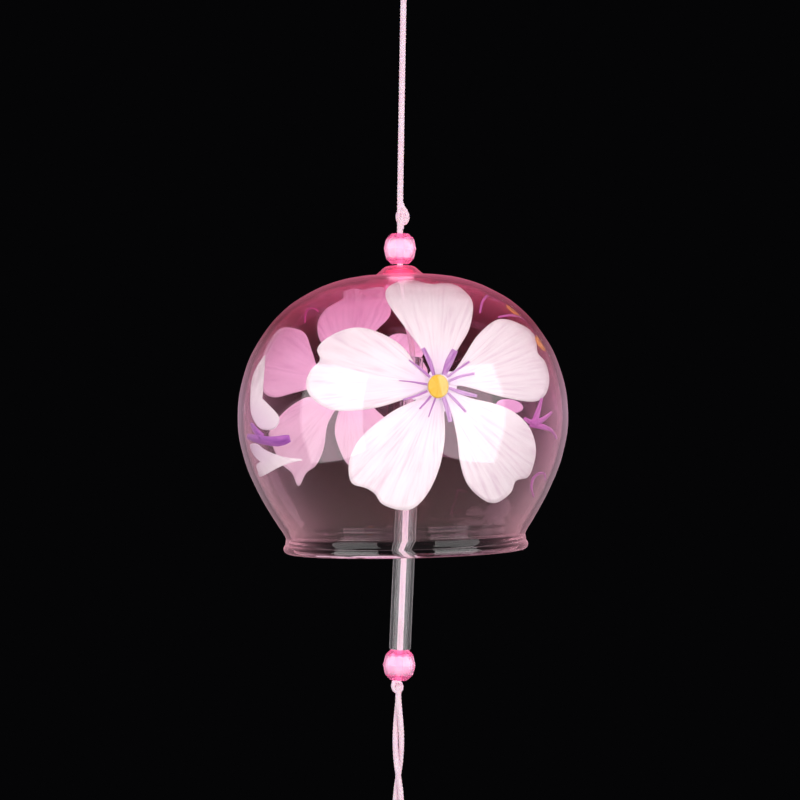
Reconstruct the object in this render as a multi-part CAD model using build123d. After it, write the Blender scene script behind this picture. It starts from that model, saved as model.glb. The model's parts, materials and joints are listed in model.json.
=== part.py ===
from build123d import *
import math
import os

# Furin wind bell: a blown glass bell on a braided cord, with a glass tube
# that strikes its lip and a paper strip that catches the wind.
# Millimetres, +Z up, the painted front faces -Y.
# The origin is the inside top of the hang loop, where a hook touches it.

# Cord
cord_diameter = 1.5
strand_diameter = 1.4
swing_gap = 0.05
# Share of the shorter of two straight runs that the arc between them takes up
arc_share = 0.45

# Hang loop and the knot that closes it
loop_inner_radius = 3.9
loop_height = 18.7
loop_knot_radius = 2.2

# Upper cord, which leans because the tilted bell hangs off centre
crown_x = -0.9
upper_knot_radius = 1.75
upper_knot_height = 4.8
knot_above_bead = 1.7

# Faceted beads, one above the glass, one inside it, one under the tube
bead_height = 7.4
bead_flat_width = 7.86
bead_facets = 12
bead_side_lean = 12.8
bead_shoulder_lean = 43.0
bead_cap_width = 4.2
bead_bore = 2.1
core_diameter = 4.4

# Glass bell
hang_to_crown = 88.3
bell_diameter = 80.4
bell_height = 69.5
wall = 1.3
crown_hole_diameter = 3.8
neck_radius = 29.15
lip_roll = 2.4
lip_stand_out = 0.65
bell_tilt = 1.3
crown_gap = 0.45
stopper_gap = 0.4

# Crown flare, from the hole's rim out to where the dome starts
crown_flare_radius = 6.2
crown_flare_depth = 2.25

# Clapper
stopper_knot_radius = 1.75
clapper_shift = 0.5
bend_out = 2.75
bend_drop = 8.0
bend_to_tube = 3.5
clapper_lean = 2.5
tube_diameter = 5.2
tube_bore = 2.4
tube_length = 71.5
tube_edge_round = 0.4
seat_gap = 0.05
lower_knot_radius = 1.7

# Tail and paper strip
tail_length = 28.5
tail_spread = 0.8
strip_knot_radius = 2.0
strip_loop_drop = 7.5
strip_loop_radius = 2.1
strip_width = 38.0
strip_length = 92.0
strip_thickness = 0.4
strip_bow = 1.5
strip_hole_diameter = 4.4
strip_edge_to_hole = 4.0

# Outline of the glass from the flare down to the neck: shares of the
# bell's radius and of its height below the crown
dome_shares = [
    (0.235, 0.0345),
    (0.410, 0.0550),
    (0.565, 0.0930),
    (0.711, 0.1500),
    (0.853, 0.2460),
    (0.951, 0.3600),
    (1.000, 0.5300),
    (0.966, 0.6640),
    (0.889, 0.7790),
    (0.772, 0.9000),
]
flare_shares = [(0.14, 0.02), (0.34, 0.19), (0.63, 0.61)]
neck_shares = [(1.020, 0.9290), (1.000, 0.9460)]
wall_steps = 36
crowding_power = 1.5

# Tail strand: shares of the spread across and of the tail's length down,
# an eighth of a turn apart, for one strand. The other is opposite.
tail_shares = [
    (0.00, -1.00, -0.03),
    (0.00, -1.00, 0.06),
    (0.71, -0.71, 0.25),
    (1.00, 0.00, 0.42),
    (0.71, 0.71, 0.57),
    (0.00, 1.00, 0.71),
    (-0.71, 0.71, 0.85),
    (-1.00, 0.00, 1.00),
]

# Heights that follow from the sizes above
cord_radius = cord_diameter / 2
strand_radius = strand_diameter / 2
bell_radius = bell_diameter / 2
half_bead = bead_height / 2
crown_z = -hang_to_crown
top_bead_z = crown_z + crown_gap + half_bead
upper_knot_z = top_bead_z + half_bead + knot_above_bead + upper_knot_height / 2
stopper_z = crown_z - wall - stopper_gap - half_bead


def ball_cap(radius, cap_radius):
    """Height above a ball's centre at which a flat cap of this radius is cut."""
    return math.sqrt(radius**2 - cap_radius**2)


loop_cap = ball_cap(loop_knot_radius, 2 * cord_radius + swing_gap)
loop_knot_z = -loop_height - loop_cap
stopper_cap = ball_cap(stopper_knot_radius, cord_radius + clapper_shift / 2)
stopper_knot_z = stopper_z - half_bead - seat_gap - stopper_cap
stopper_knot_x = crown_x + clapper_shift
lower_cap = ball_cap(lower_knot_radius, cord_radius + strand_radius / 2)
strip_cap = ball_cap(strip_knot_radius, tail_spread + strand_radius)


def write(name, shape):
    """Writes one node and prints its volume."""
    shape.label = name
    export_step(shape, f"parts/{name}.step")
    print(f"{name}: {shape.volume:.2f} mm3")


def capped_ball(radius, cap):
    """A knot drawn tight: a ball with a flat top that the cord goes into."""
    return split(Sphere(radius), Plane.XY.offset(cap), keep=Keep.BOTTOM)


def tube_along(points, diameter):
    """A cord through points, its straight runs joined by tangent arcs."""
    points = [Vector(*p) for p in points]
    runs = [b - a for a, b in zip(points, points[1:])]
    radii = []
    for before, after in zip(runs, runs[1:]):
        half_turn = math.radians(before.get_angle(after)) / 2
        shorter = min(before.length, after.length)
        radii.append(arc_share * shorter / math.tan(half_turn))
    path = FilletPolyline(*points, radius=radii)
    section = Plane(origin=path @ 0, z_dir=path % 0) * Circle(diameter / 2)
    solid = sweep(section, path=path)
    expected = math.pi * diameter**2 / 4 * path.length
    print(f"  radii {[round(r, 1) for r in radii]}, length {path.length:.1f}, "
          f"volume over section times length {solid.volume / expected:.4f}")
    return solid


def teardrop(drop, radius, foot, diameter):
    """A cord loop: an arc over the top, two straight legs down to their feet."""
    centre = Vector(0, 0, -radius)
    foot_point = Vector(foot, 0, -drop)
    reach = foot_point - centre
    to_foot = math.atan2(reach.Z, reach.X)
    touch = to_foot + math.acos(radius / reach.length)
    touch_point = centre + Vector(math.cos(touch), 0, math.sin(touch)) * radius
    left_touch = Vector(-touch_point.X, 0, touch_point.Z)
    right_leg = Line(foot_point, touch_point)
    arc = ThreePointArc(touch_point, Vector(0, 0, 0), left_touch)
    left_leg = Line(left_touch, Vector(-foot, 0, -drop))
    path = Wire([right_leg.edge(), arc.edge(), left_leg.edge()])
    section = Plane(origin=foot_point, z_dir=touch_point - foot_point) * Circle(diameter / 2)
    solid = sweep(section, path=path)
    expected = math.pi * diameter**2 / 4 * path.length
    print(f"  loop length {path.length:.1f}, volume ratio {solid.volume / expected:.4f}")
    return solid


def make_hang_loop():
    """The loop over the hook, its legs ending flat on the knot."""
    centreline = loop_inner_radius + cord_radius
    loop = teardrop(loop_height + cord_diameter, centreline, cord_radius + swing_gap, cord_diameter)
    placed = Pos(0, 0, cord_radius) * loop
    return split(placed, Plane.XY.offset(-loop_height), keep=Keep.TOP)


def make_loop_knot():
    return Pos(0, 0, loop_knot_z) * capped_ball(loop_knot_radius, loop_cap)


def make_upper_cord():
    """The taut cord from the loop knot's underside to the upper knot."""
    top = Vector(0, 0, loop_knot_z)
    bottom = Vector(crown_x, 0, upper_knot_z + upper_knot_height / 2)
    cord = extrude(Pos(*top) * Circle(cord_radius), dir=bottom - top, amount=(bottom - top).length)
    return cord - Pos(*top) * Sphere(loop_knot_radius + swing_gap)


def make_upper_knot():
    """A knot a little wider than it is deep, flat where the cord enters."""
    ratio = upper_knot_height / (2 * ball_cap(upper_knot_radius, cord_radius))
    half = upper_knot_height / 2
    rise = upper_knot_radius * ratio
    outline = EllipticalCenterArc((0, 0), upper_knot_radius, rise, start_angle=-90, arc_size=180)
    half_oval = make_face(outline + Line((0, -rise), (0, rise)))
    lump = revolve(Plane.XZ * half_oval, Axis.Z)
    lump = split(lump, Plane.XY.offset(half), keep=Keep.BOTTOM)
    lump = split(lump, Plane.XY.offset(-half), keep=Keep.TOP)
    return Pos(crown_x, 0, upper_knot_z) * lump


def make_crown_cord():
    """The straight cord through the top bead, the crown and the stopper bead."""
    top = upper_knot_z - upper_knot_height / 2
    bottom = stopper_knot_z + stopper_cap
    cord = extrude(Circle(cord_radius), amount=top - bottom)
    return Pos(crown_x, 0, bottom) * cord


def make_bead():
    """A bead of flat facets in four rows, with a bore and a hollow for its core."""
    side_apothem = bead_flat_width / 2
    shoulder_run = half_bead * math.tan(math.radians(bead_shoulder_lean))
    shoulder_apothem = bead_cap_width / 2 + shoulder_run
    turn = 180 / bead_facets
    sides = extrude(RegularPolygon(side_apothem, bead_facets, major_radius=False),
                    amount=half_bead, taper=bead_side_lean)
    shoulder = extrude(RegularPolygon(shoulder_apothem, bead_facets, major_radius=False, rotation=turn),
                       amount=half_bead, taper=bead_shoulder_lean)
    upper = sides & shoulder
    whole = upper + mirror(upper, about=Plane.XY)
    return whole - Cylinder(bead_bore / 2, 2 * bead_height) - Sphere(core_diameter / 2)


def make_core():
    """The pale ball inside a bead, on the same bore."""
    return Sphere(core_diameter / 2) - Cylinder(bead_bore / 2, 2 * bead_height)


def bell_skin():
    """The outer line of the glass, from the crown hole's rim to the neck."""
    rim = crown_hole_diameter / 2 + wall / 2
    flare = [(rim + r * (crown_flare_radius - rim), -d * crown_flare_depth) for r, d in flare_shares]
    dome = [(r * bell_radius, -d * bell_height) for r, d in dome_shares]
    neck = [(r * neck_radius, -d * bell_height) for r, d in neck_shares]
    points = [(rim, 0)] + flare + [(crown_flare_radius, -crown_flare_depth)] + dome + neck
    return Spline(*points)


def bell_section():
    """Half of the wall cut through: skin, neck, inner wall and rounded hole rim."""
    skin = bell_skin()
    inner = []
    for step in range(wall_steps + 1):
        share = (step / wall_steps) ** crowding_power
        at = skin @ share
        along = skin % share
        inner.append((at.X + along.Y * wall, at.Y - along.X * wall))
    inner_start = Vector(*inner[0])
    hole_edge = (skin @ 0 + inner_start) / 2 - skin % 0 * (wall / 2)
    lip_centre_z = -bell_height + lip_roll / 2
    neck_out = Line(skin @ 1, (neck_radius, lip_centre_z))
    neck_in = Line(inner[-1], (neck_radius - wall, lip_centre_z))
    lines = [
        skin,
        neck_out,
        Line(neck_out @ 1, neck_in @ 1),
        neck_in,
        Spline(*inner),
        ThreePointArc(skin @ 0, hole_edge, inner_start),
    ]
    return make_face([line.edge() for line in lines])


def make_bell():
    """The blown glass: wall and rolled lip, tilted about the stopper bead."""
    wall_solid = revolve(Plane.XZ * bell_section(), Axis.Z)
    lip_centre = neck_radius + lip_stand_out - lip_roll / 2
    lip = revolve(Plane.XZ * (Pos(lip_centre, -bell_height + lip_roll / 2) * Circle(lip_roll / 2)), Axis.Z)
    glass = wall_solid + lip
    return about_stopper(glass)


def about_stopper(shape):
    """Places a shape of the upright bell's frame, tilted about the stopper bead."""
    to_pivot = Pos(0, 0, crown_z - stopper_z)
    return Pos(crown_x, 0, stopper_z) * Rot(0, -bell_tilt, 0) * to_pivot * shape


def on_clapper(distance):
    """Placement this far down the leaning clapper line from its bend."""
    lean = math.radians(clapper_lean)
    x = stopper_knot_x + bend_out - math.sin(lean) * distance
    z = stopper_knot_z - bend_drop - math.cos(lean) * distance
    return Pos(x, 0, z) * Rot(0, clapper_lean, 0)


tube_top_at = bend_to_tube
tube_bottom_at = tube_top_at + tube_length
lower_bead_at = tube_bottom_at + seat_gap + half_bead
lower_knot_at = lower_bead_at + half_bead + seat_gap + lower_cap
lower_knot_place = on_clapper(lower_knot_at).position


def make_stopper_knot():
    return Pos(stopper_knot_x, 0, stopper_knot_z) * capped_ball(stopper_knot_radius, stopper_cap)


def make_clapper_cord():
    """From the stopper knot through the tube and the lower bead to its knot."""
    pivot = Vector(stopper_knot_x, 0, stopper_knot_z)
    bend = on_clapper(0).position
    end = on_clapper(lower_knot_at - lower_cap).position
    start = pivot + (bend - pivot).normalized() * (stopper_knot_radius / 2)
    cord = tube_along([start, bend, end], cord_diameter)
    return cord - Pos(*pivot) * Sphere(stopper_knot_radius + swing_gap)


def make_clapper_tube():
    """The glass tube that strikes the lip, its ends fire-polished."""
    tube = Cylinder(tube_diameter / 2, tube_length) - Cylinder(tube_bore / 2, tube_length)
    tube = fillet(tube.edges().filter_by(GeomType.CIRCLE), tube_edge_round)
    return on_clapper(tube_top_at + tube_length / 2) * tube


def make_lower_knot():
    return on_clapper(lower_knot_at) * capped_ball(lower_knot_radius, lower_cap)


def make_tail_strand(side):
    """One of two strands that wind once round each other down to the strip."""
    top = Vector(lower_knot_place.X, 0, lower_knot_place.Z - lower_knot_radius)
    points = [top + Vector(side * x * tail_spread, side * y * tail_spread, -down * tail_length)
              for x, y, down in tail_shares]
    strand = tube_along(points, strand_diameter)
    strand = split(strand, Plane.XY.offset(top.Z - tail_length), keep=Keep.TOP)
    return strand - Pos(*lower_knot_place) * Sphere(lower_knot_radius + swing_gap)


strip_x = lower_knot_place.X
strip_knot_z = lower_knot_place.Z - lower_knot_radius - tail_length - strip_cap
strip_loop_z = strip_knot_z - strip_knot_radius - strip_loop_drop
strip_hole_top = strip_loop_z + strand_radius + seat_gap
strip_hole_z = strip_hole_top - strip_hole_diameter / 2
strip_top_z = strip_hole_top + strip_edge_to_hole


def make_strip_knot():
    return Pos(strip_x, 0, strip_knot_z) * capped_ball(strip_knot_radius, strip_cap)


def make_strip_loop():
    """The loop that hangs from the strip knot and goes through the paper."""
    drop = strip_loop_drop + strip_knot_radius
    loop = teardrop(drop, strip_loop_radius, strand_radius + swing_gap, strand_diameter)
    placed = Pos(strip_x, 0, strip_loop_z) * Rot(0, 0, 90) * Rot(180, 0, 0) * loop
    return placed - Pos(strip_x, 0, strip_knot_z) * Sphere(strip_knot_radius + swing_gap)


def make_paper_strip():
    """A blank card strip, a little bowed across, hung by the hole at its top."""
    half = strip_width / 2
    front = ThreePointArc((-half, strip_bow), (0, 0), (half, strip_bow))
    band = offset(front, strip_thickness / 2, side=Side.BOTH)
    sheet = extrude(make_face(band), amount=strip_length)
    sheet = Pos(strip_x, 0, strip_top_z - strip_length) * sheet
    hole = Cylinder(strip_hole_diameter / 2, strip_width, rotation=(90, 0, 0))
    return sheet - Pos(strip_x, 0, strip_hole_z) * hole


def main():
    os.makedirs("parts", exist_ok=True)
    write("hang_loop", make_hang_loop())
    write("loop_knot", make_loop_knot())
    write("upper_cord", make_upper_cord())
    write("upper_knot", make_upper_knot())
    write("crown_cord", make_crown_cord())
    bead_places = {
        "top_bead": Pos(crown_x, 0, top_bead_z),
        "stopper_bead": Pos(crown_x, 0, stopper_z),
        "lower_bead": on_clapper(lower_bead_at),
    }
    for name, place in bead_places.items():
        write(name, place * make_bead())
        write(f"{name}_core", place * make_core())
    write("bell_glass", make_bell())
    write("stopper_knot", make_stopper_knot())
    write("clapper_cord", make_clapper_cord())
    write("clapper_tube", make_clapper_tube())
    write("lower_knot", make_lower_knot())
    write("tail_strand_1", make_tail_strand(1))
    write("tail_strand_2", make_tail_strand(-1))
    write("strip_knot", make_strip_knot())
    write("strip_loop", make_strip_loop())
    write("paper_strip", make_paper_strip())
    print(f"stopper pivot {crown_x}, {stopper_z:.3f}; clapper pivot {stopper_knot_x:.3f}, {stopper_knot_z:.3f}")
    print(f"lower knot {tuple(round(v, 3) for v in lower_knot_place)}, strip knot z {strip_knot_z:.3f}")
    print(f"strip loop z {strip_loop_z:.3f}, strip top z {strip_top_z:.3f}, lip bottom z {crown_z - bell_height:.3f}")


main()
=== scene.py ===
# %% [markdown]
# # A glass wind bell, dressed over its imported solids
# The real object is a blown glass bell on a braided cord. Blossoms are painted on
# the inside of the glass, and pink lacquer is sprayed over them. A glass tube on the
# cord strikes the lip, and a paper strip below catches the wind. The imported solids
# give the sizes, places and bodies, and this lesson gives each piece its finish.

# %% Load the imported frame
import json
import math
from itertools import combinations

import bmesh
import bpy
import numpy as np
from mathutils import Matrix, Vector


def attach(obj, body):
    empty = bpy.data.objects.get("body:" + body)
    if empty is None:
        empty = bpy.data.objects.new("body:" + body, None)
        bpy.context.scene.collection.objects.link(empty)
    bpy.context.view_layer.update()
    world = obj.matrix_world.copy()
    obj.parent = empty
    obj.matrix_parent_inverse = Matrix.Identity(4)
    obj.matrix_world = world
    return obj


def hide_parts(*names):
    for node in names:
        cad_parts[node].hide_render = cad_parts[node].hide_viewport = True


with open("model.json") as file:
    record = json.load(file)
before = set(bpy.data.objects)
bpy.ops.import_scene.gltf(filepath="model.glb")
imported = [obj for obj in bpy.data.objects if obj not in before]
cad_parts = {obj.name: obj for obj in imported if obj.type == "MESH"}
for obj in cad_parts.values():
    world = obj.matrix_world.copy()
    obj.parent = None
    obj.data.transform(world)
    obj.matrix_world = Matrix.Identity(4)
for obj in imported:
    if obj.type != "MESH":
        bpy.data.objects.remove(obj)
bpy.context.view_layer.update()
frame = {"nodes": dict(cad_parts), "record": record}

mm = 0.001

# %% [markdown]
# The hinges and the main sizes are read from the record or repeat the ones that the
# solids were drawn with, so that a piece sits where its solid does.

# %% Places and sizes of the object, in metres
joints = frame["record"]["behaviour"]["joints"]
hinge_at = {joint["name"]: Vector(joint["pos_m"]) for joint in joints if "pos_m" in joint}
stopper_centre = hinge_at["bell_turn"]
stopper_knot_centre = hinge_at["clapper_swing"]
lower_knot_centre = hinge_at["tail_swing"]
strip_knot_centre = hinge_at["strip_turn"]
crown_height = -88.3 * mm
bell_radius = 40.2 * mm
bell_height = 69.5 * mm
wall = 1.3 * mm
bell_tilt = math.radians(1.3)
clapper_lean = Matrix.Rotation(math.radians(2.5), 4, "Y")
cord_width = 1.5 * mm
strand_width = 1.4 * mm


def at_rest(x, y, z):
    """A point given in millimetres, in metres."""
    return Vector((x, y, z)) * mm


print("hinge heights in mm", {name: round(place.z / mm, 1) for name, place in hinge_at.items()})

# %% [markdown]
# A photographer stands level with the glass and 60 cm away, with a long lens, so the
# bell looks nearly as flat as in a drawing. The camera comes first, because the paint
# is laid on the glass along its lines of sight.

# %% Camera
picture_px = 800
sensor = 36.0
eye = at_rest(-0.9, -600, -121)
focal_px = 2460

camera_data = bpy.data.cameras.new("studio_camera")
camera_data.sensor_width = sensor
camera_data.lens = sensor * focal_px / picture_px
camera = bpy.data.objects.new("studio_camera", camera_data)
camera.location = eye
camera.rotation_euler = (math.radians(90), 0, 0)
bpy.context.collection.objects.link(camera)
bpy.context.scene.camera = camera
bpy.context.scene.view_settings.view_transform = "Standard"
print("lens", round(camera_data.lens, 1), "mm")

# %% [markdown]
# Colours are written as a paint shop would, in hexadecimal sRGB, and one function
# turns them to the linear values that the renderer needs. One more function adds a
# node with its settings and links, for materials and Geometry Nodes alike, and short
# ones built on it name the nodes that nearly every finish uses.

# %% Helpers for colours and nodes


def linear(code):
    """An sRGB colour such as '#f4a9c4' as linear values, opaque."""
    parts = [int(code[i:i + 2], 16) / 255 for i in (1, 3, 5)]
    return (*[p / 12.92 if p <= 0.04045 else ((p + 0.055) / 1.055) ** 2.4 for p in parts], 1.0)


def add_node(tree, kind, inputs=None, **settings):
    """Adds a node. An input given another node's output is linked, and a value is set."""
    made = tree.nodes.new(kind)
    for name, value in settings.items():
        setattr(made, name, value)
    for key, value in (inputs or {}).items():
        if isinstance(value, bpy.types.NodeSocket):
            tree.links.new(value, made.inputs[key])
        else:
            made.inputs[key].default_value = value
    return made


def value_of(tree, kind, inputs=None, **settings):
    """The first output of a new node."""
    return add_node(tree, kind, inputs, **settings).outputs[0]


def maths(tree, operation, first, second=0.0, third=0.0):
    """The result of one sum."""
    return value_of(tree, "ShaderNodeMath", {0: first, 1: second, 2: third}, operation=operation)


def own_place(tree):
    """The place on the piece itself, in metres."""
    return add_node(tree, "ShaderNodeTexCoord").outputs["Object"]


def noise(tree, place, scale, detail, **more):
    """Smooth noise from 0 to 1, with so many waves to a unit of the place."""
    return value_of(tree, "ShaderNodeTexNoise", {"Vector": place, "Scale": scale, "Detail": detail, **more})


def map_range(tree, value, from_low, from_high, to_low=0.0, to_high=1.0):
    """A value taken from one range to another."""
    return value_of(tree, "ShaderNodeMapRange", {"Value": value, "From Min": from_low, "From Max": from_high,
                                                 "To Min": to_low, "To Max": to_high})


def colour_ramp(tree, factor, stops):
    """A ramp with stops of (place, colour), or of (place, number) for a grey."""
    ramp = add_node(tree, "ShaderNodeValToRGB", {"Fac": factor})
    elements = ramp.color_ramp.elements
    elements.remove(elements[1])
    colours = [linear(shade) if isinstance(shade, str) else (shade, shade, shade, 1)
               for place, shade in stops]
    elements[0].position, elements[0].color = stops[0][0], colours[0]
    for (place, shade), colour in zip(stops[1:], colours[1:]):
        elements.new(place).color = colour
    return ramp.outputs[0]


def bumpy(tree, height, strength, depth):
    """The normal of a surface with this pattern raised on it, its depth in metres."""
    return value_of(tree, "ShaderNodeBump", {"Strength": strength, "Distance": depth, "Height": height})


def edge_on(tree, power):
    """1 where a face is seen edge on and 0 where it is seen flat, sharper with power."""
    facing = add_node(tree, "ShaderNodeLayerWeight", {"Blend": 0.5}).outputs["Facing"]
    return maths(tree, "POWER", facing, power)


def principled(tree, colour, roughness, more=None):
    """A Principled shader, with more of its inputs by name."""
    inputs = {"Base Color": colour, "Roughness": roughness, **(more or {})}
    return value_of(tree, "ShaderNodeBsdfPrincipled", inputs)


def mix_shader(tree, share, first, second):
    """Two shaders mixed, with this share of the second."""
    return value_of(tree, "ShaderNodeMixShader", {0: share, 1: first, 2: second})


def make_material(name, surface, *choices):
    """A material with the shader that the surface function builds in its tree."""
    material = bpy.data.materials.new(name)
    material.use_nodes = True
    tree = material.node_tree
    tree.nodes.clear()
    add_node(tree, "ShaderNodeOutputMaterial", {"Surface": surface(tree, *choices)})
    print(name, "has", len(tree.nodes), "nodes")
    return material


print("#f4a9c4 in linear values:", [round(v, 3) for v in linear("#f4a9c4")])

# %% [markdown]
# Each piece is a mesh of its own at the origin, with its place in its vertices, so that
# its object's own coordinates are real metres. It rides on one body of the imported frame,
# and the solids that it stands for are hidden.

# %% Helpers for pieces


def put_object(name, data):
    """A new object at the origin, linked to the scene."""
    made = bpy.data.objects.new(name, data)
    bpy.context.collection.objects.link(made)
    return made


def evaluated_mesh(thing):
    """A new mesh of an object, with its curve or its modifiers worked out."""
    return bpy.data.meshes.new_from_object(thing.evaluated_get(bpy.context.evaluated_depsgraph_get()))


def apply_modifiers(piece):
    """Replaces a piece's mesh by what its modifiers make of it."""
    made = evaluated_mesh(piece)
    piece.modifiers.clear()
    piece.data = made


def new_piece(name, vertices, faces, material):
    """A mesh object at the origin, with its place in its mesh."""
    mesh = bpy.data.meshes.new(name)
    mesh.from_pydata([tuple(v) for v in vertices], [], faces)
    mesh.materials.append(material)
    mesh.shade_smooth()
    mesh.update()
    return put_object(name, mesh)


def belongs(piece, body, slot, *nodes):
    """Hangs a piece on its body, hides the solids that it stands for and prints the body. Its slot is not
    used.
    """
    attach(piece, body)
    if nodes:
        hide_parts(*nodes)
    print(piece.name, "rides on", body, len(piece.data.polygons) if piece.type == "MESH" else "")


# %% [markdown]
# The cord is a round braid of twelve polished nylon yarns, six winding each way and
# passing over and under one another. A stretched photograph texture would do, but
# real yarns catch the light and show at the edge. So Geometry Nodes copy the route
# twelve times, wind each copy round it and sweep a small circle along each.

# %% The braid, as Geometry Nodes
# Shares of the cord's width: where a yarn lies, how far it weaves, its radius and the core's.
yarn_seat = 0.35
weave_depth = 0.035
yarn_share = 0.115
core_share = 0.40


def braid_tree():
    """Turns a route into a round braid: yarns that wind both ways, and a core."""
    tree = bpy.data.node_groups.new("Round braid", "GeometryNodeTree")
    new_socket = tree.interface.new_socket
    for name, kind in (("Route", "Geometry"), ("Cord width", "Float"), ("Lay length", "Float"),
                       ("Step", "Float"), ("Yarns each way", "Int"), ("Finish", "Material")):
        new_socket(name=name, in_out="INPUT", socket_type=f"NodeSocket{kind}")
    new_socket(name="Cord", in_out="OUTPUT", socket_type="NodeSocketGeometry")
    given = add_node(tree, "NodeGroupInput").outputs
    width, ways = given["Cord width"], given["Yarns each way"]

    def vectors(operation, inputs):
        return value_of(tree, "ShaderNodeVectorMath", inputs, operation=operation)

    def swept(line, corners, radius_share):
        """A round section of this share of the cord's width, swept along a line."""
        radius = maths(tree, "MULTIPLY", width, radius_share)
        circle = value_of(tree, "GeometryNodeCurvePrimitiveCircle", {"Resolution": corners, "Radius": radius})
        return value_of(tree, "GeometryNodeCurveToMesh",
                        {"Curve": line, "Profile Curve": circle, "Fill Caps": True})

    evened = value_of(tree, "GeometryNodeResampleCurve",
                      {"Curve": given["Route"], "Length": given["Step"]}, mode="LENGTH")
    copies = add_node(tree, "GeometryNodeDuplicateElements",
                      {"Geometry": evened, "Amount": maths(tree, "MULTIPLY", ways, 2.0)}, domain="SPLINE")
    number = copies.outputs["Duplicate Index"]
    way = maths(tree, "MULTIPLY_ADD", maths(tree, "MODULO", number, 2.0), -2.0, 1.0)
    pair = maths(tree, "FLOOR", maths(tree, "DIVIDE", number, 2.0))
    start_angle = maths(tree, "DIVIDE", maths(tree, "MULTIPLY", pair, 2 * math.pi), ways)
    along = add_node(tree, "GeometryNodeSplineParameter").outputs["Length"]
    turned = maths(tree, "DIVIDE", maths(tree, "MULTIPLY", along, 2 * math.pi), given["Lay length"])
    angle = maths(tree, "MULTIPLY_ADD", turned, way, start_angle)
    weave = maths(tree, "COSINE", maths(tree, "MULTIPLY", turned, ways))
    over = maths(tree, "MULTIPLY", maths(tree, "MULTIPLY", weave, way), weave_depth)
    reach = maths(tree, "MULTIPLY", maths(tree, "ADD", over, yarn_seat), width)
    outward = maths(tree, "MULTIPLY", maths(tree, "COSINE", angle), reach)
    sideways = maths(tree, "MULTIPLY", maths(tree, "SINE", angle), reach)
    normal = value_of(tree, "GeometryNodeInputNormal")
    side = vectors("CROSS_PRODUCT", {0: value_of(tree, "GeometryNodeInputTangent"), 1: normal})
    offset = vectors("ADD", {0: vectors("SCALE", {0: normal, "Scale": outward}),
                             1: vectors("SCALE", {0: side, "Scale": sideways})})
    wound = value_of(tree, "GeometryNodeSetPosition",
                     {"Geometry": copies.outputs["Geometry"], "Offset": offset})
    joined = add_node(tree, "GeometryNodeJoinGeometry")
    tree.links.new(swept(wound, corners=6, radius_share=yarn_share), joined.inputs[0])
    tree.links.new(swept(evened, corners=16, radius_share=core_share), joined.inputs[0])
    real = value_of(tree, "GeometryNodeRealizeInstances", {"Geometry": joined.outputs[0]})
    finished = value_of(tree, "GeometryNodeSetMaterial", {"Geometry": real, "Material": given["Finish"]})
    add_node(tree, "NodeGroupOutput", {"Cord": finished})
    return tree


round_braid = braid_tree()
print("braid tree of", len(round_braid.nodes), "nodes")

# %% [markdown]
# Nylon yarn is drawn smooth, so it has a soft sheen along its length and no fuzz. The
# colour is lighter where the filament bumps stand proud and deeper pink between them, which is painted shade.

# %% Nylon finish


def nylon_braid(tree):
    place = own_place(tree)
    # Filaments 0.2 mm apart, coarser than real so that they show, and patches of 6 mm.
    filaments = noise(tree, place, 5200.0, 3.0)
    patches = noise(tree, place, 160.0, 1.0)
    # The ramp paints shade: deeper pink where the filament bumps are low, lighter where high, with random
    # patches mixed in.
    shade = value_of(tree, "ShaderNodeMix", {0: 0.35, 2: filaments, 3: patches})
    colour = colour_ramp(tree, shade, [(0.30, "#f4c0d4"), (0.50, "#fad6e4"), (0.72, "#fde8f0")])
    return principled(tree, colour, 0.42, {
        "IOR": 1.53, "Normal": bumpy(tree, filaments, 0.25, 0.03 * mm),
        "Sheen Weight": 0.35, "Sheen Roughness": 0.4, "Sheen Tint": linear("#ffe3ee"),
        "Subsurface Weight": 0.12, "Subsurface Scale": 0.6 * mm})


nylon = make_material("braided nylon cord", nylon_braid)

# %% [markdown]
# A cord's route is a smooth curve through the air, so it is laid as one NURBS spline
# with a few given points, and the braid follows the spline. The weight of the
# glass pulls the upper cord straight, and the loop hangs open over a hook.

# %% Laying and braiding a cord
yarns_each_way = 6
lay_of_braid = 6.0 * mm
braid_step = 0.15 * mm


def lay_route(name, points):
    """One open NURBS spline with these control points, in millimetres."""
    data = bpy.data.curves.new(name, "CURVE")
    data.dimensions = "3D"
    spline = data.splines.new("NURBS")
    spline.points.add(len(points) - 1)
    for point, place in zip(spline.points, points):
        point.co = (*at_rest(*place), 1.0)
    spline.order_u = 3
    spline.use_endpoint_u = True
    spline.resolution_u = 24
    return put_object(name, data)


def read_line(route):
    """The points along a route's spline, as Blender evaluates it."""
    mesh = evaluated_mesh(route)
    line = [tuple(v.co) for v in mesh.vertices]
    bpy.data.meshes.remove(mesh)
    return line


def braid_cord(name, points, width):
    """The braided cord through these points, as a plain mesh, and the line that it follows."""
    route = lay_route(f"{name}_route", points)
    line = read_line(route)
    modifier = route.modifiers.new("Braid", "NODES")
    modifier.node_group = round_braid
    values = {"Cord width": width, "Lay length": lay_of_braid * width / cord_width,
              "Step": braid_step, "Yarns each way": yarns_each_way, "Finish": nylon}
    for item in round_braid.interface.items_tree:
        if item.name in values:
            modifier[item.identifier] = values[item.name]
    route.update_tag()
    mesh = evaluated_mesh(route)
    mesh.name = name
    mesh.shade_smooth()
    bpy.data.objects.remove(route)
    return put_object(name, mesh), line


def length_of(line):
    return sum((Vector(b) - Vector(a)).length for a, b in zip(line, line[1:]))
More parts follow.
